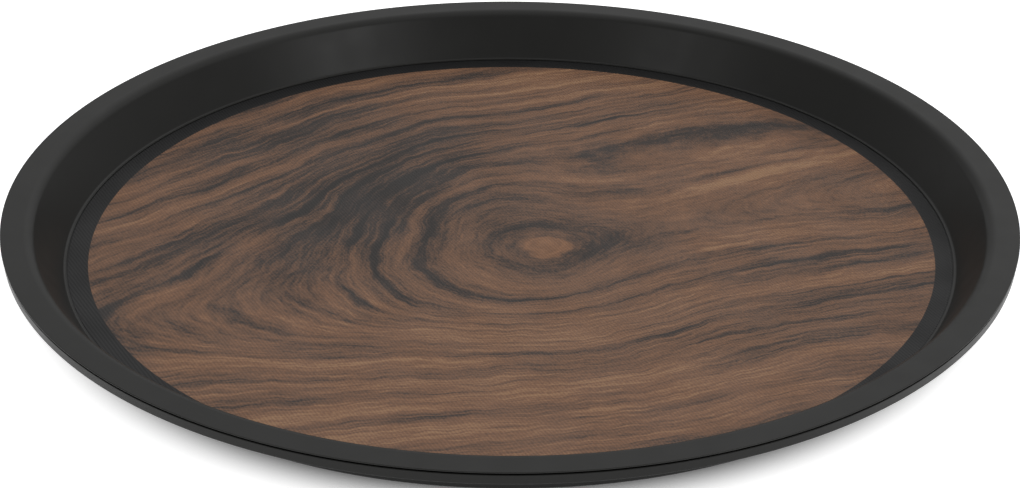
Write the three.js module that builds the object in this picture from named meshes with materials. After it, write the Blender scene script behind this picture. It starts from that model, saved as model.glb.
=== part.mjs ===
// Round serving tray, 356 mm across. Two black mouldings snap together at the rim:
// a base pan and a frame ring. Between them they hold a printed disc, a clear ribbed
// skin over it, and a steel wire hoop inside the rim. A rubber ring under the pan
// stands on the table.
//
// Millimetres, +Z up. The origin is the middle of the face the tray rests on.
// Every piece is turned about Z from an outline of [radius, height] points.

import * as THREE from "three";
import { mergeVertices } from "three/addons/utils/BufferGeometryUtils.js";

// Overall size
const TRAY_RADIUS = 178;
const CREST_HEIGHT = 19.5;
const SEGMENTS = 64;

// Mouldings
const SHELL = 1.2;
const CLEARANCE = 0.3;
const FLOOR_RADIUS = 157; // foot of the inner wall's face
const CREST_CORNER_RADIUS = 167.6; // where the wall and the flange would meet unrounded
const CREST_FILLET = 4.5;
const FLANGE_DROP = 0.1; // the flange falls this much towards its outer edge
const FLANGE_EDGE_FILLET = 0.25;
const FLANGE_EDGE_THICKNESS = 0.35;
const UNDERCUT_RISE = 0.9; // the flange's underside climbs this much to its thin edge
const TOE_LENGTH = 0.7; // the frame's narrow foot on the skin
const TOE_HEIGHT = 0.4;

// Floor, from the table up
const BASE_HEIGHT = 0.6;
const PANEL_HEIGHT = 1; // recessed middle of the underside
const PANEL_RADIUS = 134;
const PRINT_SEAT_HEIGHT = 1.9;
const PRINT_THICKNESS = 0.3;
const PRINT_RADIUS = 149.4;
const SKIN_THICKNESS = 0.8;
const SKIN_RADIUS = 157.9;
const FIELD_RADIUS = 156; // the ribbed field, proud of the skin's plain margin
const FIELD_RISE = 0.1;
const BASE_CORNER_FILLET = 4;

// Skirt, set back a little under the flange so that a thin shadow gap shows between them
const SKIRT_BOTTOM = 14.8;
const SKIRT_TOP = 18.3;
const SKIRT_SETBACK = 0.2;
const SKIRT_TAPER = 0.35;
const SKIRT_FILLET = 0.3;
const SKIRT_CHAMFER = 0.3;

// Snap between the skirt and the frame's lip: a bead on each, one hooked under the other
const LIP_RADIUS = 175.75;
const LIP_BEAD = 0.6;
const LIP_CHAMFER = 0.2;
const SNAP_GAP = 0.9; // lip's outer face to skirt's inner face
const SNAP_DEPTH = 0.65; // skirt's top to its bead
const SNAP_BEAD = 0.5;
const SNAP_FLAT = 0.2;

// Wire hoop and the half-round channel it lies in
const HOOP_RADIUS = 171.6;
const HOOP_HEIGHT = 16;
const WIRE_RADIUS = 1.5;
const WIRE_SIDES = 10;

// Rubber ring
const FOOT_INNER = 142.3;
const FOOT_OUTER = 147.7;
const FOOT_THICKNESS = 1.3;
const FOOT_CHAMFER = 0.3;

const SKIN_BOTTOM = PRINT_SEAT_HEIGHT + PRINT_THICKNESS;
const SKIN_TOP = SKIN_BOTTOM + SKIN_THICKNESS;
const MARGIN_TOP = SKIN_TOP - FIELD_RISE;
const UNDER_FLANGE_TOP = SKIRT_BOTTOM + SHELL;
const SKIRT_RADIUS = TRAY_RADIUS - SKIRT_SETBACK;
const SKIRT_INNER = LIP_RADIUS + SNAP_GAP;
const SKIRT_BEAD_TOP = SKIRT_TOP - SNAP_DEPTH;
const FLANGE_EDGE_HEIGHT = CREST_HEIGHT - FLANGE_DROP;

// The wall is a cone. Its lean is the run of radius for each millimetre of height.
const WALL_LEAN = (CREST_CORNER_RADIUS - FLOOR_RADIUS) / (CREST_HEIGHT - SKIN_TOP);
const WALL_ANGLE = Math.atan(WALL_LEAN);

// Point of the wall's cone at a height, moved outwards by a thickness of material.
function wall(height, depth) {
  const radius = FLOOR_RADIUS + (height - SKIN_TOP) * WALL_LEAN + depth / Math.cos(WALL_ANGLE);
  return [radius, height];
}

// Points of an arc in the radius-height plane, both ends included.
function arc([radius, height], size, start, end, steps) {
  const points = [];
  for (let i = 0; i <= steps; i += 1) {
    const angle = start + ((end - start) * i) / steps;
    points.push([radius + size * Math.cos(angle), height + size * Math.sin(angle)]);
  }
  return points;
}

// A closed solid turned about Z. Outlines run anticlockwise, radius to the right.
function turned(outline) {
  const onAxis = outline[0][0] === 0;
  const closed = onAxis ? outline : [...outline, outline[0]];
  const points = closed.map(([radius, height]) => new THREE.Vector2(radius, height));
  const geometry = new THREE.LatheGeometry(points, SEGMENTS);
  geometry.rotateX(Math.PI / 2);
  geometry.deleteAttribute("normal");
  geometry.deleteAttribute("uv");
  const welded = mergeVertices(geometry);
  welded.computeVertexNormals();
  return welded;
}

function piece(name, outline, colour, roughness, metalness) {
  const material = new THREE.MeshStandardMaterial({
    color: colour,
    roughness,
    metalness,
    flatShading: true,
  });
  const mesh = new THREE.Mesh(turned(outline), material);
  mesh.name = name;
  return mesh;
}

// Underside: recessed panel, then the seat of the rubber ring.
function underside() {
  const seatTop = FOOT_THICKNESS;
  const step = PANEL_HEIGHT - BASE_HEIGHT;
  return [
    [0, PANEL_HEIGHT],
    [PANEL_RADIUS - step, PANEL_HEIGHT],
    [PANEL_RADIUS, BASE_HEIGHT],
    [FOOT_INNER - CLEARANCE, BASE_HEIGHT],
    [FOOT_INNER - CLEARANCE, seatTop],
    [FOOT_OUTER + CLEARANCE, seatTop],
    [FOOT_OUTER + CLEARANCE, BASE_HEIGHT],
  ];
}

// Rounded corner between the underside and the outer face of the wall.
function baseCorner() {
  const depth = 2 * SHELL + CLEARANCE - BASE_CORNER_FILLET;
  const centre = wall(BASE_HEIGHT + BASE_CORNER_FILLET, depth);
  return arc(centre, BASE_CORNER_FILLET, -Math.PI / 2, -WALL_ANGLE, 4);
}

// Half-round channel under the flange, as its outer or inner face.
function channel(size, level, steps) {
  const lift = Math.asin((level - HOOP_HEIGHT) / size);
  return arc([HOOP_RADIUS, HOOP_HEIGHT], size, -Math.PI - lift, lift, steps);
}

// Skirt, from its lower corner over its rounded top to the snap bead inside.
function skirt() {
  const low = SKIRT_RADIUS - SKIRT_TAPER;
  const shoulder = SKIRT_TOP - SKIRT_FILLET;
  const beadCrest = SKIRT_BEAD_TOP - SNAP_BEAD / 2;
  return [
    [low - SKIRT_CHAMFER, SKIRT_BOTTOM],
    [low, SKIRT_BOTTOM + SKIRT_CHAMFER],
    ...arc([SKIRT_RADIUS - SKIRT_FILLET, shoulder], SKIRT_FILLET, 0, Math.PI / 2, 3),
    [SKIRT_INNER + SKIRT_CHAMFER, SKIRT_TOP],
    [SKIRT_INNER, SKIRT_TOP - SKIRT_CHAMFER],
    [SKIRT_INNER, SKIRT_BEAD_TOP],
    [SKIRT_INNER - SNAP_BEAD, beadCrest],
    [SKIRT_INNER - SNAP_BEAD, beadCrest - SNAP_FLAT],
    [SKIRT_INNER, SKIRT_BEAD_TOP - SNAP_BEAD - SNAP_FLAT],
    [SKIRT_INNER, UNDER_FLANGE_TOP],
  ];
}

function basePan() {
  const outerDepth = 2 * SHELL + CLEARANCE;
  const innerDepth = SHELL + CLEARANCE;
  const channelOutside = WIRE_RADIUS + CLEARANCE + SHELL;
  const channelInside = WIRE_RADIUS + CLEARANCE;
  return [
    ...underside(),
    ...baseCorner(),
    wall(SKIRT_BOTTOM, outerDepth),
    ...channel(channelOutside, SKIRT_BOTTOM, 6),
    ...skirt(),
    ...channel(channelInside, UNDER_FLANGE_TOP, 6).reverse(),
    wall(UNDER_FLANGE_TOP, innerDepth),
    wall(SKIN_BOTTOM, innerDepth),
    [PRINT_RADIUS + CLEARANCE, SKIN_BOTTOM],
    [PRINT_RADIUS + CLEARANCE, PRINT_SEAT_HEIGHT],
    [0, PRINT_SEAT_HEIGHT],
  ];
}

// Lip that hooks under the skirt's bead, from its inner to its outer face.
function lip() {
  const bottom = UNDER_FLANGE_TOP + CLEARANCE;
  const beadTop = SKIRT_BEAD_TOP - SNAP_BEAD / 2 - SNAP_FLAT - CLEARANCE;
  const beadRadius = LIP_RADIUS + LIP_BEAD;
  return [
    [LIP_RADIUS - SHELL, bottom],
    [beadRadius - LIP_CHAMFER, bottom],
    [beadRadius, bottom + LIP_CHAMFER],
    [beadRadius, beadTop],
    [LIP_RADIUS, beadTop + SNAP_BEAD / 2],
  ];
}

// Outer edge of the flange, from the top of the lip round to the upper face.
function flangeEdge() {
  const bottom = FLANGE_EDGE_HEIGHT - FLANGE_EDGE_THICKNESS;
  const centre = [TRAY_RADIUS - FLANGE_EDGE_FILLET, FLANGE_EDGE_HEIGHT - FLANGE_EDGE_FILLET];
  return [
    [LIP_RADIUS, bottom - UNDERCUT_RISE],
    [TRAY_RADIUS, bottom],
    ...arc(centre, FLANGE_EDGE_FILLET, 0, Math.PI / 2, 3),
  ];
}

// Rounded crest, from the flange down to the wall.
function crest() {
  const fall = Math.atan(FLANGE_DROP / (TRAY_RADIUS - CREST_CORNER_RADIUS));
  const centre = wall(CREST_HEIGHT - CREST_FILLET, CREST_FILLET);
  return arc(centre, CREST_FILLET, Math.PI / 2 - fall, Math.PI - WALL_ANGLE, 5);
}

function frameRing() {
  const toeTop = MARGIN_TOP + TOE_HEIGHT;
  return [
    [FLOOR_RADIUS - TOE_LENGTH, MARGIN_TOP],
    wall(MARGIN_TOP, SHELL),
    wall(CREST_HEIGHT - SHELL, SHELL),
    [LIP_RADIUS - SHELL, CREST_HEIGHT - SHELL],
    ...lip(),
    ...flangeEdge(),
    ...crest(),
    wall(toeTop, 0),
    [FLOOR_RADIUS - TOE_LENGTH, toeTop],
  ];
}

function printDisc() {
  return [
    [0, PRINT_SEAT_HEIGHT],
    [PRINT_RADIUS, PRINT_SEAT_HEIGHT],
    [PRINT_RADIUS, SKIN_BOTTOM],
    [0, SKIN_BOTTOM],
  ];
}

// The skin's plain margin lies under the frame's toe. The field inside it stands proud.
function gripOverlay() {
  return [
    [0, SKIN_BOTTOM],
    [SKIN_RADIUS, SKIN_BOTTOM],
    [SKIN_RADIUS, MARGIN_TOP],
    [FIELD_RADIUS, MARGIN_TOP],
    [FIELD_RADIUS - FIELD_RISE, SKIN_TOP],
    [0, SKIN_TOP],
  ];
}

function rimHoop() {
  const section = arc([HOOP_RADIUS, HOOP_HEIGHT], WIRE_RADIUS, 0, 2 * Math.PI, WIRE_SIDES);
  return section.slice(0, WIRE_SIDES);
}

function footRing() {
  return [
    [FOOT_INNER + FOOT_CHAMFER, 0],
    [FOOT_OUTER - FOOT_CHAMFER, 0],
    [FOOT_OUTER, FOOT_CHAMFER],
    [FOOT_OUTER, FOOT_THICKNESS],
    [FOOT_INNER, FOOT_THICKNESS],
    [FOOT_INNER, FOOT_CHAMFER],
  ];
}

const group = new THREE.Group();
group.add(
  piece("base_pan", basePan(), 0x19191a, 0.45, 0),
  piece("print_disc", printDisc(), 0x63402c, 0.5, 0),
  piece("grip_overlay", gripOverlay(), 0x6b4a36, 0.4, 0),
  piece("frame_ring", frameRing(), 0x1c1c1d, 0.42, 0),
  piece("rim_hoop", rimHoop(), 0x9a9b9c, 0.35, 1),
  piece("foot_ring", footRing(), 0x141414, 0.85, 0),
);

export default group;
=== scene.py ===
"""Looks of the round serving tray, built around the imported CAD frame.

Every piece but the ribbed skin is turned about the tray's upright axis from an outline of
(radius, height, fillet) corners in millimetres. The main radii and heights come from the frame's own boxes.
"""

import math

import bpy
from mathutils import Matrix, Vector


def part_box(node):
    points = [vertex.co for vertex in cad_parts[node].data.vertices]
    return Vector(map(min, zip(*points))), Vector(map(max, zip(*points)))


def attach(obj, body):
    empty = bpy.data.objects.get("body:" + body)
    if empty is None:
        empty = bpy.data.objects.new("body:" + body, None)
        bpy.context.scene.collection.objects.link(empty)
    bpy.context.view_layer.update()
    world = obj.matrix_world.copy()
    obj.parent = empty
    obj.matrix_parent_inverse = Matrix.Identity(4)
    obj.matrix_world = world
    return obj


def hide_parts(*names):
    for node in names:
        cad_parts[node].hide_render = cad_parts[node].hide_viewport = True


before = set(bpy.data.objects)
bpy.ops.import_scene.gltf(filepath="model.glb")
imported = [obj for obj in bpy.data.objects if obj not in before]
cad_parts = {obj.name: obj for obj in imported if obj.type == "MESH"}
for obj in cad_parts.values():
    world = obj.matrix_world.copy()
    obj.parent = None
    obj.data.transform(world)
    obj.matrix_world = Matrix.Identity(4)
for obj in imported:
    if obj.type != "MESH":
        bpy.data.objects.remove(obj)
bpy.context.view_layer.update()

MM = 0.001
TURN_STEPS = 288
FILLET_STEPS = 5


def span(node):
    """Outer radius, lowest and highest point of a CAD node, in millimetres."""
    low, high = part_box(node)
    return high.x / MM, low.z / MM, high.z / MM


SKIRT_RADIUS, BASE_HEIGHT, SKIRT_TOP = span("base_pan")
TRAY_RADIUS, MARGIN_TOP, CREST_HEIGHT = span("frame_ring")
SKIN_RADIUS, SKIN_BOTTOM, SKIN_TOP = span("grip_overlay")
PRINT_RADIUS, PRINT_BOTTOM, _ = span("print_disc")
HOOP_OUTER, HOOP_LOW, HOOP_HIGH = span("rim_hoop")
FOOT_OUTER, _, FOOT_THICKNESS = span("foot_ring")

# Mouldings
SHELL = 1.2
CLEARANCE = 0.3
FLOOR_RADIUS = 157
CREST_CORNER_RADIUS = 167.6
CREST_FILLET = 4.5
FLANGE_DROP = 0.1
FLANGE_EDGE_THICKNESS = 0.35
UNDERCUT_RISE = 0.9
TOE_LENGTH = 0.7
TOE_HEIGHT = 0.4
SKIRT_BOTTOM = 14.8
SKIRT_TAPER = 0.35
PANEL_RADIUS = 134
PANEL_HEIGHT = 1
PANEL_STEP = 0.4
FOOT_INNER = 142.3
WIRE_DIAMETER = HOOP_HIGH - HOOP_LOW
HOOP_MIDDLE = (HOOP_LOW + HOOP_HIGH) / 2
HOOP_RADIUS = HOOP_OUTER - WIRE_DIAMETER / 2
CHANNEL = WIRE_DIAMETER / 2 + CLEARANCE
WALL_LEAN = (CREST_CORNER_RADIUS - FLOOR_RADIUS) / (CREST_HEIGHT - SKIN_TOP)
WALL_ANGLE = math.atan(WALL_LEAN)

# Snap between the skirt and the frame's lip
LIP_RADIUS = 175.75
LIP_BEAD = 0.6
SNAP_GAP = 0.9
SNAP_DEPTH = 0.65
SNAP_BEAD = 0.5
SNAP_FLAT = 0.2

# Ribbed field of the skin: its radius, the ribs' pitch, and the direction across them
FIELD_RADIUS = 156
FIELD_EDGE = 0.1
RIB_PITCH = 1.16
RIB_HEIGHT = 0.07
RIB_ANGLE = math.radians(27)
RIB_STEPS = 6


def wall(height, depth, fillet):
    """A corner on the wall's cone at a height, moved outwards by a thickness of material."""
    radius = FLOOR_RADIUS + (height - SKIN_TOP) * WALL_LEAN + depth / math.cos(WALL_ANGLE)
    return radius, height, fillet


def rounded(corners):
    """Points and normals of a closed outline whose corners are rounded by their fillets."""
    points = []
    count = len(corners)
    for index, (radius, height, fillet) in enumerate(corners):
        here = Vector((radius, height))
        back = (Vector(corners[index - 1][:2]) - here).normalized()
        ahead = (Vector(corners[(index + 1) % count][:2]) - here).normalized()
        if not fillet:
            outward = Vector((back.x - ahead.x, back.y - ahead.y)).normalized()
            points.append((here, Vector((-outward.y, outward.x))))
            continue
        half = back.angle(ahead) / 2
        centre = here + (back + ahead).normalized() * (fillet / math.sin(half))
        reach = fillet / math.tan(half)
        start = (here + back * reach - centre) / fillet
        end = (here + ahead * reach - centre) / fillet
        sweep = math.atan2(start.x * end.y - start.y * end.x, start.dot(end))
        facing = 1 if sweep > 0 else -1
        for step in range(FILLET_STEPS + 1):
            turn = Matrix.Rotation(sweep * step / FILLET_STEPS, 2)
            spoke = turn @ start
            points.append((centre + spoke * fillet, spoke * facing))
    return points


def add_piece(name, verts, faces, normals=None, corner_normals=None):
    """A new object from millimetre points, with its exact normals."""
    mesh = bpy.data.meshes.new(name)
    mesh.from_pydata([(x * MM, y * MM, z * MM) for x, y, z in verts], [], faces)
    mesh.shade_smooth()
    if normals:
        mesh.normals_split_custom_set_from_vertices(normals)
    if corner_normals:
        mesh.normals_split_custom_set(corner_normals)
    piece = bpy.data.objects.new(name, mesh)
    bpy.context.scene.collection.objects.link(piece)
    return piece


def turned(name, corners):
    """A solid turned from an anticlockwise outline."""
    verts = []
    normals = []
    rings = []
    for point, normal in rounded(corners):
        ring = []
        around = 1 if point.x < 1e-6 else TURN_STEPS
        for step in range(around):
            angle = 2 * math.pi * step / TURN_STEPS
            ring.append(len(verts))
            verts.append((point.x * math.cos(angle), point.x * math.sin(angle), point.y))
            if around == 1:
                normals.append((0, 0, 1 if normal.y > 0 else -1))
            else:
                normals.append((normal.x * math.cos(angle), normal.x * math.sin(angle), normal.y))
        rings.append(ring)
    faces = []
    pairs = list(zip(rings, rings[1:]))
    if corners[0][0] > 0:
        pairs.append((rings[-1], rings[0]))
    for low, high in pairs:
        for step in range(TURN_STEPS):
            after = (step + 1) % TURN_STEPS
            if len(low) == 1:
                faces.append((low[0], high[after], high[step]))
            elif len(high) == 1:
                faces.append((low[step], low[after], high[0]))
            else:
                faces.append((low[step], low[after], high[after], high[step]))
    return add_piece(name, verts, faces, normals=normals)


def place(piece, node, material):
    """Gives a finished piece its material and its place in the frame."""
    piece.data.materials.append(material)
    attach(piece, "root")
    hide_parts(node)


def pan_outline():
    outer = 2 * SHELL + CLEARANCE
    inner = SHELL + CLEARANCE
    under_flange = SKIRT_BOTTOM + SHELL
    skirt_inner = LIP_RADIUS + SNAP_GAP
    skirt_low = SKIRT_RADIUS - SKIRT_TAPER
    foot_outer = FOOT_OUTER + CLEARANCE
    foot_inner = FOOT_INNER - CLEARANCE
    bead_top = SKIRT_TOP - SNAP_DEPTH
    bead_crest = bead_top - SNAP_BEAD / 2
    outside = CHANNEL + SHELL
    return [
        (0, PANEL_HEIGHT, 0),
        (PANEL_RADIUS - PANEL_STEP, PANEL_HEIGHT, 0.5),
        (PANEL_RADIUS, BASE_HEIGHT, 0.3),
        (foot_inner, BASE_HEIGHT, 0.15),
        (foot_inner, FOOT_THICKNESS, 0.1),
        (foot_outer, FOOT_THICKNESS, 0.1),
        (foot_outer, BASE_HEIGHT, 0.15),
        wall(BASE_HEIGHT, outer, 4),
        wall(SKIRT_BOTTOM, outer, 0.4),
        (HOOP_RADIUS - outside, SKIRT_BOTTOM, 0.2),
        (HOOP_RADIUS - outside + 0.2, HOOP_MIDDLE - outside, 1.2),
        (HOOP_RADIUS + outside - 0.2, HOOP_MIDDLE - outside, 1.2),
        (HOOP_RADIUS + outside, SKIRT_BOTTOM, 0.2),
        (skirt_low, SKIRT_BOTTOM, 0.3),
        (SKIRT_RADIUS, SKIRT_TOP, 0.3),
        (skirt_inner, SKIRT_TOP, 0.25),
        (skirt_inner, bead_top, 0.1),
        (skirt_inner - SNAP_BEAD, bead_crest, 0.1),
        (skirt_inner - SNAP_BEAD, bead_crest - SNAP_FLAT, 0.05),
        (skirt_inner, bead_top - SNAP_BEAD - SNAP_FLAT, 0.1),
        (skirt_inner, under_flange, 0.3),
        (HOOP_RADIUS + CHANNEL, under_flange, 0.2),
        (HOOP_RADIUS + CHANNEL, HOOP_MIDDLE - CHANNEL, 1.2),
        (HOOP_RADIUS - CHANNEL, HOOP_MIDDLE - CHANNEL, 1.2),
        (HOOP_RADIUS - CHANNEL, under_flange, 0.2),
        wall(under_flange, inner, 0.3),
        wall(SKIN_BOTTOM, inner, 0.2),
        (PRINT_RADIUS + CLEARANCE, SKIN_BOTTOM, 0.1),
        (PRINT_RADIUS + CLEARANCE, PRINT_BOTTOM, 0.1),
        (0, PRINT_BOTTOM, 0),
    ]


def frame_outline():
    edge_height = CREST_HEIGHT - FLANGE_DROP
    edge_bottom = edge_height - FLANGE_EDGE_THICKNESS
    lip_bottom = SKIRT_BOTTOM + SHELL + CLEARANCE
    bead = LIP_RADIUS + LIP_BEAD
    bead_top = SKIRT_TOP - SNAP_DEPTH - SNAP_BEAD / 2 - SNAP_FLAT - CLEARANCE
    toe = FLOOR_RADIUS - TOE_LENGTH
    toe_top = MARGIN_TOP + TOE_HEIGHT
    return [
        (toe, MARGIN_TOP, 0.05),
        wall(MARGIN_TOP, SHELL, 0.1),
        wall(CREST_HEIGHT - SHELL, SHELL, 2),
        (LIP_RADIUS - SHELL, CREST_HEIGHT - SHELL, 0.3),
        (LIP_RADIUS - SHELL, lip_bottom, 0.2),
        (bead, lip_bottom, 0.15),
        (bead, bead_top, 0.1),
        (LIP_RADIUS, bead_top + SNAP_BEAD / 2, 0.1),
        (LIP_RADIUS, edge_bottom - UNDERCUT_RISE, 0.1),
        (TRAY_RADIUS, edge_bottom, 0.05),
        (TRAY_RADIUS, edge_height, 0.25),
        (CREST_CORNER_RADIUS, CREST_HEIGHT, CREST_FILLET),
        wall(toe_top, 0, 0.9),
        (toe, toe_top, 0.15),
    ]


def disc_outline(radius, bottom, top, edge):
    return [(0, bottom, 0), (radius, bottom, edge), (radius, top, edge), (0, top, 0)]


def ring_outline(inner, outer, bottom, top, edge):
    return [(inner, bottom, edge), (outer, bottom, edge), (outer, top, edge), (inner, top, edge)]


def ribbed_skin(name):
    """A disc whose round field is covered in straight, parallel, gently rounded ribs."""
    swing = RIB_HEIGHT / 2
    across = Vector((math.cos(RIB_ANGLE), math.sin(RIB_ANGLE)))
    along = Vector((-across.y, across.x))
    crest_radius = FIELD_RADIUS - FIELD_EDGE
    count = int(2 * crest_radius / RIB_PITCH * RIB_STEPS)
    step_size = RIB_PITCH / RIB_STEPS
    offsets = [(index - count / 2 + 0.5) * step_size for index in range(count)]

    def edge_point(offset, side, radius, height):
        reach = math.sqrt(crest_radius**2 - offset**2)
        point = (across * offset + along * reach * side) * (radius / crest_radius)
        return point.x, point.y, height

    rows = []
    slopes = []
    for offset in offsets:
        phase = 2 * math.pi * offset / RIB_PITCH
        height = SKIN_TOP - swing + swing * math.cos(phase)
        slope = -swing * 2 * math.pi / RIB_PITCH * math.sin(phase)
        slopes.append(Vector((-slope * across.x, -slope * across.y, 1)).normalized())
        for side in (-1, 1):
            rows.append([
                edge_point(offset, side, crest_radius, height),
                edge_point(offset, side, FIELD_RADIUS, MARGIN_TOP),
                edge_point(offset, side, SKIN_RADIUS, MARGIN_TOP),
                edge_point(offset, side, SKIN_RADIUS, SKIN_BOTTOM),
            ])
    verts = [point for row in rows for point in row]
    depth = 4

    def index_of(strip, side, level):
        return (2 * strip + side) * depth + level

    faces = []
    corner_normals = []

    def add_face(corners, normals=None):
        faces.append(corners)
        if normals is None:
            points = [Vector(verts[corner]) for corner in corners]
            flat = (points[1] - points[0]).cross(points[2] - points[0]).normalized()
            normals = [flat] * len(corners)
        corner_normals.extend(normals)

    for strip in range(count - 1):
        after = strip + 1
        top = (index_of(strip, 0, 0), index_of(after, 0, 0), index_of(after, 1, 0), index_of(strip, 1, 0))
        add_face(top, (slopes[strip], slopes[after], slopes[after], slopes[strip]))
        last = depth - 1
        add_face((
            index_of(strip, 1, last),
            index_of(after, 1, last),
            index_of(after, 0, last),
            index_of(strip, 0, last),
        ))
        for level in range(last):
            add_face((
                index_of(strip, 0, level),
                index_of(strip, 0, level + 1),
                index_of(after, 0, level + 1),
                index_of(after, 0, level),
            ))
            add_face((
                index_of(after, 1, level),
                index_of(after, 1, level + 1),
                index_of(strip, 1, level + 1),
                index_of(strip, 1, level),
            ))
    for level in range(depth - 1):
        add_face((
            index_of(0, 1, level),
            index_of(0, 1, level + 1),
            index_of(0, 0, level + 1),
            index_of(0, 0, level),
        ))
        add_face((
            index_of(count - 1, 0, level),
            index_of(count - 1, 0, level + 1),
            index_of(count - 1, 1, level + 1),
            index_of(count - 1, 1, level),
        ))
    return add_piece(name, verts, faces, corner_normals=corner_normals)


class Graph:
    """Short names for building a material's nodes."""

    def __init__(self, name):
        self.material = bpy.data.materials.new(name)
        self.material.use_nodes = True
        self.nodes = self.material.node_tree.nodes
        self.links = self.material.node_tree.links
        self.shader = self.nodes["Principled BSDF"]

    def feed(self, socket, value):
        if isinstance(value, bpy.types.NodeSocket):
            self.links.new(value, socket)
        else:
            socket.default_value = value

    def surface(self, **values):
        for name, value in values.items():
            self.feed(self.shader.inputs[name.replace("_", " ")], value)

    def math(self, operation, *values):
        node = self.nodes.new("ShaderNodeMath")
        node.operation = operation
        for socket, value in zip(node.inputs, values):
            self.feed(socket, value)
        return node.outputs[0]

    def vector(self, operation, *values):
        node = self.nodes.new("ShaderNodeVectorMath")
        node.operation = operation
        for socket, value in zip(node.inputs, values):
            self.feed(socket, value)
        return node.outputs["Value" if operation in ("DOT_PRODUCT", "LENGTH") else "Vector"]

    def point(self):
        """Place on the object, in millimetres."""
        place_node = self.nodes.new("ShaderNodeTexCoord")
        return self.vector("MULTIPLY", place_node.outputs["Object"], (1 / MM, 1 / MM, 1 / MM))

    def split(self, vector):
        node = self.nodes.new("ShaderNodeSeparateXYZ")
        self.feed(node.inputs[0], vector)
        return node.outputs["X"], node.outputs["Y"], node.outputs["Z"]

    def local(self, point, middle, turn, scale=(1, 1, 1)):
        """The point as seen from a turned and scaled place on the floor."""
        node = self.nodes.new("ShaderNodeMapping")
        node.vector_type = "TEXTURE"
        self.feed(node.inputs["Vector"], point)
        self.feed(node.inputs["Location"], middle)
        self.feed(node.inputs["Rotation"], (0, 0, turn))
        self.feed(node.inputs["Scale"], scale)
        return node.outputs[0]

    def bell(self, offset):
        """One in the middle of an offset vector, falling away to nothing beyond a length of one or two."""
        return self.math("EXPONENT", self.math("MULTIPLY", self.vector("DOT_PRODUCT", offset, offset), -1.0))

    def join(self, x, y, z):
        node = self.nodes.new("ShaderNodeCombineXYZ")
        for socket, value in zip(node.inputs, (x, y, z)):
            self.feed(socket, value)
        return node.outputs[0]

    def noise(self, vector, scale, detail=3.0, roughness=0.55, output="Fac", flat=False):
        node = self.nodes.new("ShaderNodeTexNoise")
        node.noise_dimensions = "2D" if flat else "3D"
        self.feed(node.inputs["Vector"], vector)
        self.feed(node.inputs["Scale"], scale)
        self.feed(node.inputs["Detail"], detail)
        self.feed(node.inputs["Roughness"], roughness)
        return node.outputs[output]

    def remap(self, value, low, high, to_low=0.0, to_high=1.0, smooth=False):
        node = self.nodes.new("ShaderNodeMapRange")
        node.interpolation_type = "SMOOTHSTEP" if smooth else "LINEAR"
        for name, number in (
            ("Value", value),
            ("From Min", low),
            ("From Max", high),
            ("To Min", to_low),
            ("To Max", to_high),
        ):
            self.feed(node.inputs[name], number)
        return node.outputs[0]

    def ramp(self, value, stops, interpolation="LINEAR"):
        node = self.nodes.new("ShaderNodeValToRGB")
        node.color_ramp.interpolation = interpolation
        elements = node.color_ramp.elements
        while len(elements) < len(stops):
            elements.new(1)
        for element, (position, colour) in zip(elements, stops):
            element.position = position
            element.color = (*colour, 1)
        self.feed(node.inputs[0], value)
        return node.outputs["Color"]

    def mix(self, factor, first, second):
        node = self.nodes.new("ShaderNodeMix")
        node.data_type = "RGBA"
        self.feed(node.inputs["Factor"], factor)
        self.feed(node.inputs["A"], first)
        self.feed(node.inputs["B"], second)
        return node.outputs["Result"]

    def bump(self, height, distance, strength=1.0):
        node = self.nodes.new("ShaderNodeBump")
        self.feed(node.inputs["Height"], height)
        self.feed(node.inputs["Distance"], distance)
        self.feed(node.inputs["Strength"], strength)
        self.feed(self.shader.inputs["Normal"], node.outputs["Normal"])


# Wood print. The grain runs at GRAIN_TURN and parts round a knot, whose eye is at EYE.
EYE = (11, -4, 0)
GRAIN_TURN = math.radians(20.5)
PRINT_CENTRE = (0.6, 0, 0)
# Broad swells that push the grain lines apart: middle, reach along and across the grain, height
GRAIN_SWELLS = (
    ((-65, 4), (170, 30), 19),
    ((-19, 35), (46, 126), -14.7),
    ((32, -170), (170, 111), 44),
    ((90, 82), (130, 30), -29.7),
)
# Dark growth rings: level of the grain field, half width, darkness
GROWTH_RINGS = (
    (12, 1.4, 0.35),
    (22.5, 1.5, 0.7),
    (31, 1.5, 0.75),
    (37.3, 1.5, 0.7),
    (48.8, 1.4, 0.5),
    (57.5, 2.6, 0.9),
    (69.5, 2.6, 0.5),
    (81, 2.4, 0.4),
    (97, 4.0, 0.45),
    (126, 9.0, 0.5),
)
# Soft dark or pale zones: middle, reach, turn in degrees, strength. The pale band along the back edge is a
# painted sheen and the dark zone by the back-left wall is painted shade; the others make the print darker or
# paler in patches.
PRINT_PATCHES_AND_PAINTED_LIGHT = (
    ((-50, 34), (64, 27), 62, -0.42),
    ((46, -1), (22, 12), 12, -0.24),
    # painted shade by the back-left wall
    ((-95, 92), (60, 34), 45, -0.16),
    # painted sheen along the back edge
    ((10, 138), (110, 26), 0, 0.16),
    ((-5, -112), (120, 36), 8, 0.24),
    ((110, 60), (60, 40), 20, 0.16),
)
EYE_PATCH = (12.5, -4.5, 0)
RING_SPAN = 140
GREY = (1 / 3, 1 / 3, 1 / 3)
FLAT = (1, 1, 0)
# The grain field: how softly it turns at the knot's head and sides, how fast it rises behind the knot,
# and how much tighter it is on the lower side
HEAD_ROUNDING = 10.0
SIDE_ROUNDING = 13.0
HEAD_RISE = 0.27
LOWER_SQUEEZE = 0.3
# Wander of the grain: a slow and a quick sideways shift, in millimetres
WOBBLE = 7
RIPPLE = 1.6
# Streaks along the grain: frequency along it, frequency across it, detail, roughness
BROAD_STREAKS = (0.010, 0.13, 0.0, 0.5)
COARSE_STREAKS = (0.028, 0.45, 2.0, 0.6)
CLOSE_STREAKS = (0.040, 0.95, 2.0, 0.6)
FIBRE_STREAKS = (0.16, 2.4, 1.0, 0.6)
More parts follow.
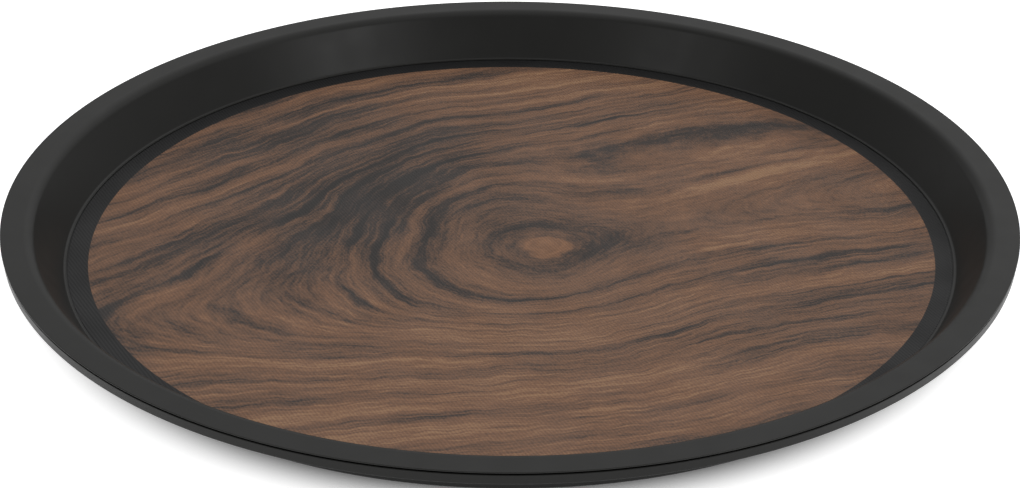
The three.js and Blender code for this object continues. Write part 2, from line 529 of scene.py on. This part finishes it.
# How much each part of the pattern moves the tone round its middle
MIDDLE_TONE = 0.55
BROAD_SHARE = 0.7
BANDING_SHARE = 1.1
FIBRE_SHARE = 0.5
SPECKLE_SHARE = 0.35
RING_SHARE = 0.46
# Near the eye the streaks are calmer: radii between which they come up, and the least of them
CALM_REACH = (25.0, 60.0)
CALM_LEAST = 0.45
WOOD_TONES = (
    (0.0, (0.026, 0.022, 0.020)),
    (0.22, (0.048, 0.034, 0.028)),
    (0.5, (0.148, 0.080, 0.049)),
    (0.75, (0.222, 0.113, 0.063)),
    (1.0, (0.320, 0.178, 0.096)),
)
# The pale eye is a little long: its squash, its frayed edge in millimetres and its tones
EYE_SQUASH = (0.92, 1.2, 0)
EYE_FRAY = 9.0
EYE_EDGE = (11.5, 14.0)
EYE_TONES = ((0.35, (0.190, 0.094, 0.050)), (0.65, (0.262, 0.130, 0.068)))
# Clear vinyl: black where no print is under it, and how strongly its ribs bend the light
SKIN_BLACK = (0.008, 0.008, 0.0083, 1)
RIB_LENSING = 0.09


def grain_field(graph, point):
    """Level of the growth rings at a point, and which side of the grain's middle it is on."""
    turned_point = graph.local(point, EYE, GRAIN_TURN)
    along, across, _ = graph.split(turned_point)
    flat = graph.vector("MULTIPLY", turned_point, FLAT)

    head = graph.math("SQRT", graph.math("MULTIPLY_ADD", along, along, HEAD_ROUNDING**2))
    behind = graph.math("MULTIPLY_ADD", graph.math("SUBTRACT", head, along), 0.5, -HEAD_ROUNDING / 2)
    reach = graph.math("SQRT", graph.math("MULTIPLY_ADD", across, across, SIDE_ROUNDING**2))
    lower = graph.math("MULTIPLY_ADD", graph.math("DIVIDE", across, reach), -0.5, 0.5)
    squeeze = graph.math("MULTIPLY_ADD", lower, -LOWER_SQUEEZE, 1.0)
    level = graph.math("MULTIPLY", graph.math("SUBTRACT", reach, SIDE_ROUNDING), squeeze)
    level = graph.math("MULTIPLY_ADD", behind, HEAD_RISE, level)
    for (x, y), (long, wide), height in GRAIN_SWELLS:
        scaled = graph.vector("MULTIPLY_ADD", flat, (1 / long, 1 / wide, 0), (-x / long, -y / wide, 0))
        level = graph.math("MULTIPLY_ADD", graph.bell(scaled), height, level)
    return level, lower, along, across, flat


def ring_stops():
    stops = []
    for level, half_width, darkness in GROWTH_RINGS:
        for offset, depth in ((-half_width, 0), (0, darkness), (half_width, 0)):
            light = 1 - depth
            stops.append(((level + offset) / RING_SPAN, (light, light, light)))
    return stops


def wood_colour(graph):
    """Colour of the printed wood: growth rings round a knot, streaks, fibres and a pale eye, with a painted
    sheen along the back edge and painted shade by the back-left wall.
    """
    place_mm = graph.point()
    wobble = graph.noise(place_mm, 0.03, 1.0, 0.5, "Color", flat=True)
    ripple = graph.noise(place_mm, 0.16, 0.0, 0.5, "Color", flat=True)
    point = graph.vector("MULTIPLY_ADD", wobble, (WOBBLE, WOBBLE, 0), place_mm)
    point = graph.vector("MULTIPLY_ADD", ripple, (RIPPLE, RIPPLE, 0), point)
    middle_shift = (WOBBLE + RIPPLE) / 2
    point = graph.vector("SUBTRACT", point, (middle_shift, middle_shift, 0))
    level, lower, along, across, flat = grain_field(graph, point)

    rings = graph.ramp(graph.math("DIVIDE", level, float(RING_SPAN)), ring_stops(), "EASE")
    patchy = graph.remap(graph.noise(flat, 0.028, 0.0, flat=True), 0.35, 0.65, 0.35, 1.0)
    darkening = graph.math("SUBTRACT", graph.vector("DOT_PRODUCT", rings, GREY), 1.0)
    darkening = graph.math("MULTIPLY", darkening, patchy)

    def streaks(slow, fast, detail, roughness):
        x = graph.math("MULTIPLY", along, slow)
        y = graph.math("MULTIPLY", across, slow)
        z = graph.math("MULTIPLY", level, fast)
        return graph.noise(graph.join(x, y, z), 1.0, detail, roughness)

    def centred(value):
        return graph.math("SUBTRACT", value, 0.5)

    broad = streaks(*BROAD_STREAKS)
    coarse = streaks(*COARSE_STREAKS)
    close = streaks(*CLOSE_STREAKS)
    fibres = streaks(*FIBRE_STREAKS)
    speckle = graph.noise(place_mm, 0.9, 1.0, 0.6, flat=True)
    banding = graph.math("MULTIPLY_ADD", graph.math("SUBTRACT", close, coarse), lower, coarse)

    off_eye = graph.vector("SUBTRACT", point, EYE_PATCH)
    off_eye = graph.vector("LENGTH", graph.vector("MULTIPLY", off_eye, EYE_SQUASH))
    calm = graph.remap(off_eye, *CALM_REACH, CALM_LEAST, 1.0, smooth=True)
    banding = graph.math("MULTIPLY", centred(banding), calm)

    tone = graph.math("MULTIPLY_ADD", centred(broad), BROAD_SHARE, MIDDLE_TONE)
    tone = graph.math("MULTIPLY_ADD", banding, BANDING_SHARE, tone)
    tone = graph.math("MULTIPLY_ADD", centred(fibres), FIBRE_SHARE, tone)
    tone = graph.math("MULTIPLY_ADD", centred(speckle), SPECKLE_SHARE, tone)
    tone = graph.math("MULTIPLY_ADD", darkening, RING_SHARE, tone)
    # Patches of the print, plus a painted sheen along the back edge and painted shade by the back-left wall
    for (x, y), (long, wide), turn, strength in PRINT_PATCHES_AND_PAINTED_LIGHT:
        offset = graph.local(point, (x, y, 0), math.radians(turn), (long, wide, 1))
        offset = graph.vector("MULTIPLY", offset, FLAT)
        tone = graph.math("MULTIPLY_ADD", graph.bell(offset), strength, tone)
    colour = graph.ramp(tone, WOOD_TONES)
    frayed = graph.noise(place_mm, 0.12, 2.0, flat=True)
    frayed = graph.math("MULTIPLY_ADD", frayed, EYE_FRAY, off_eye)
    patch = graph.remap(frayed, *EYE_EDGE, 1.0, 0.0, smooth=True)
    return graph.mix(patch, colour, graph.ramp(fibres, EYE_TONES)), place_mm


def wood_print():
    graph = Graph("wood_print_ink")
    colour, _ = wood_colour(graph)
    graph.surface(Base_Color=colour, Roughness=0.5)
    return graph.material


def grip_skin():
    """Ribbed vinyl drawn opaque, with the look of the print and the black pan seen through it."""
    graph = Graph("clear_vinyl_over_print")
    colour, place_mm = wood_colour(graph)
    offset = graph.vector("MULTIPLY", graph.vector("SUBTRACT", place_mm, PRINT_CENTRE), FLAT)
    radius = graph.vector("LENGTH", offset)
    outside = graph.remap(radius, PRINT_RADIUS - 0.1, PRINT_RADIUS + 0.1)
    across = graph.vector("DOT_PRODUCT", place_mm, (math.cos(RIB_ANGLE), math.sin(RIB_ANGLE), 0))
    wave = graph.math("COSINE", graph.math("MULTIPLY", across, 2 * math.pi / RIB_PITCH))
    lensing = graph.math("MULTIPLY_ADD", wave, RIB_LENSING, 1.0)
    colour = graph.vector("SCALE", colour, (0, 0, 0), (0, 0, 0), lensing)
    colour = graph.mix(outside, colour, SKIN_BLACK)
    smears = graph.noise(place_mm, 0.05, 0.0, flat=True)
    roughness = graph.remap(smears, 0.3, 0.7, 0.42, 0.50)
    graph.surface(Base_Color=colour, Roughness=roughness, Specular_IOR_Level=0.26)
    return graph.material


def black_plastic(name, colour, roughness, specular):
    """Black moulded satin plastic, faintly mottled."""
    graph = Graph(name)
    place_mm = graph.point()
    mottle = graph.noise(place_mm, 0.08, 1.0)
    dark = tuple(channel * 0.9 for channel in colour) + (1,)
    light = tuple(channel * 1.1 for channel in colour) + (1,)
    graph.surface(
        Base_Color=graph.mix(mottle, dark, light),
        Roughness=graph.remap(mottle, 0.3, 0.7, roughness - 0.03, roughness + 0.03),
        Specular_IOR_Level=specular,
    )
    return graph.material


def steel_wire():
    graph = Graph("zinc_wire")
    place_mm = graph.point()
    drawn = graph.noise(place_mm, 0.8, 4.0, 0.6)
    colour = graph.mix(drawn, (0.42, 0.42, 0.43, 1), (0.52, 0.52, 0.53, 1))
    graph.surface(Base_Color=colour, Roughness=graph.remap(drawn, 0.3, 0.7, 0.28, 0.42), Metallic=1.0)
    return graph.material


def foot_rubber():
    graph = Graph("matt_rubber")
    place_mm = graph.point()
    bloom = graph.noise(place_mm, 0.3, 4.0, 0.6)
    colour = graph.mix(bloom, (0.009, 0.009, 0.009, 1), (0.016, 0.016, 0.016, 1))
    graph.surface(Base_Color=colour, Roughness=0.82, Specular_IOR_Level=0.3)
    graph.bump(graph.noise(place_mm, 2.0, 3.0), 0.00003)
    return graph.material


def build_tray():
    pan_plastic = black_plastic("pan_plastic", (0.0080, 0.0080, 0.0073), 0.40, 0.165)
    frame_plastic = black_plastic("frame_plastic", (0.0100, 0.0100, 0.0088), 0.36, 0.27)
    print_outline = disc_outline(PRINT_RADIUS, PRINT_BOTTOM, SKIN_BOTTOM, 0.05)
    hoop_outline = ring_outline(HOOP_OUTER - WIRE_DIAMETER, HOOP_OUTER, HOOP_LOW, HOOP_HIGH, 1.4)
    foot_outline = ring_outline(FOOT_INNER, FOOT_OUTER, 0, FOOT_THICKNESS, 0.3)
    place(turned("pan_shell", pan_outline()), "base_pan", pan_plastic)
    place(turned("frame_shell", frame_outline()), "frame_ring", frame_plastic)
    place(turned("print_sheet", print_outline), "print_disc", wood_print())
    place(ribbed_skin("ribbed_skin"), "grip_overlay", grip_skin())
    place(turned("wire_hoop", hoop_outline), "rim_hoop", steel_wire())
    place(turned("rubber_foot", foot_outline), "foot_ring", foot_rubber())


# Camera: where it stands, seen from a point on the tray's axis just under the rim
AIM_HEIGHT = 18.8 * MM
CAMERA_DISTANCE = 1.01
CAMERA_ELEVATION = math.radians(27.159)
CAMERA_TILT = math.radians(-0.846)
CAMERA_ROLL = math.radians(0.195)
CAMERA_LENS = 100.95
SENSOR_WIDTH = 36


def build_camera():
    data = bpy.data.cameras.new("camera")
    data.lens = CAMERA_LENS
    data.sensor_width = SENSOR_WIDTH
    data.clip_end = 50
    camera = bpy.data.objects.new("camera", data)
    pitch = math.pi / 2 - CAMERA_ELEVATION + CAMERA_TILT
    turn = Matrix.Rotation(pitch, 4, "X") @ Matrix.Rotation(CAMERA_ROLL, 4, "Z")
    back = CAMERA_DISTANCE * math.cos(CAMERA_ELEVATION)
    height = AIM_HEIGHT + CAMERA_DISTANCE * math.sin(CAMERA_ELEVATION)
    camera.matrix_world = Matrix.Translation((0, -back, height)) @ turn
    bpy.context.scene.collection.objects.link(camera)
    bpy.context.scene.camera = camera


# Light box: direction of its bright part, where that fades, its radiances, the floor's own glow
# and the radii between which the glow comes up round the tray; inside them its absence is a painted shadow
BRIGHT_SIDE = (0.25, 0.35, 0.9)
BRIGHT_EDGE = (0.60, 0.85)
DIM_LIGHT = 0.45
BRIGHT_LIGHT = 0.95
FLOOR_GLOW = 0.85
PAINTED_SHADOW_EDGE = (152, 174)


def area_light(name, position, target, width, height, power):
    data = bpy.data.lights.new(name, "AREA")
    data.shape = "RECTANGLE"
    data.size = width
    data.size_y = height
    data.energy = power
    light = bpy.data.objects.new(name, data)
    light.location = position
    aim = Vector(target) - Vector(position)
    light.rotation_euler = aim.to_track_quat("-Z", "Y").to_euler()
    bpy.context.scene.collection.objects.link(light)


def studio_white():
    """White floor with its own glow, which is left out under the tray as a painted shadow."""
    graph = Graph("studio_white")
    distance = graph.vector("LENGTH", graph.point())
    # Painted shadow under the tray: the floor's glow fades to nothing inside these radii
    glow = graph.remap(distance, *PAINTED_SHADOW_EDGE, 0.0, FLOOR_GLOW, smooth=True)
    graph.surface(
        Base_Color=(0.9, 0.9, 0.9, 1),
        Roughness=0.9,
        Emission_Color=(1, 1, 1, 1),
        Emission_Strength=glow,
    )
    return graph.material


def light_box(tree):
    """A white light box all round, brightest high up behind the tray."""
    background = tree.nodes["Background"]
    place_node = tree.nodes.new("ShaderNodeTexCoord")
    facing = tree.nodes.new("ShaderNodeVectorMath")
    facing.operation = "DOT_PRODUCT"
    facing.inputs[1].default_value = Vector(BRIGHT_SIDE).normalized()
    ramp = tree.nodes.new("ShaderNodeMapRange")
    ramp.interpolation_type = "SMOOTHSTEP"
    ramp.inputs["From Min"].default_value = BRIGHT_EDGE[0]
    ramp.inputs["From Max"].default_value = BRIGHT_EDGE[1]
    ramp.inputs["To Min"].default_value = DIM_LIGHT
    ramp.inputs["To Max"].default_value = BRIGHT_LIGHT
    background.inputs["Color"].default_value = (1, 1, 1, 1)
    tree.links.new(place_node.outputs["Generated"], facing.inputs[0])
    tree.links.new(facing.outputs["Value"], ramp.inputs["Value"])
    tree.links.new(ramp.outputs["Result"], background.inputs["Strength"])


def build_stage():
    side = 6
    corners = [(-side, -side, 0), (side, -side, 0), (side, side, 0), (-side, side, 0)]
    mesh = bpy.data.meshes.new("studio_floor")
    mesh.from_pydata(corners, [], [(0, 1, 2, 3)])
    floor = bpy.data.objects.new("studio_floor", mesh)
    bpy.context.scene.collection.objects.link(floor)
    mesh.materials.append(studio_white())
    world = bpy.data.worlds.new("studio_world")
    bpy.context.scene.world = world
    world.use_nodes = True
    light_box(world.node_tree)
    area_light("front_right", (1.2, -1.05, 1.1), (0, 0, 0), 0.6, 0.9, 5)
    area_light("front_left", (-1.2, -1.05, 1.1), (0, 0, 0), 0.6, 0.9, 2.5)


build_camera()
build_tray()
build_stage()
bpy.context.scene.view_settings.view_transform = "Standard"
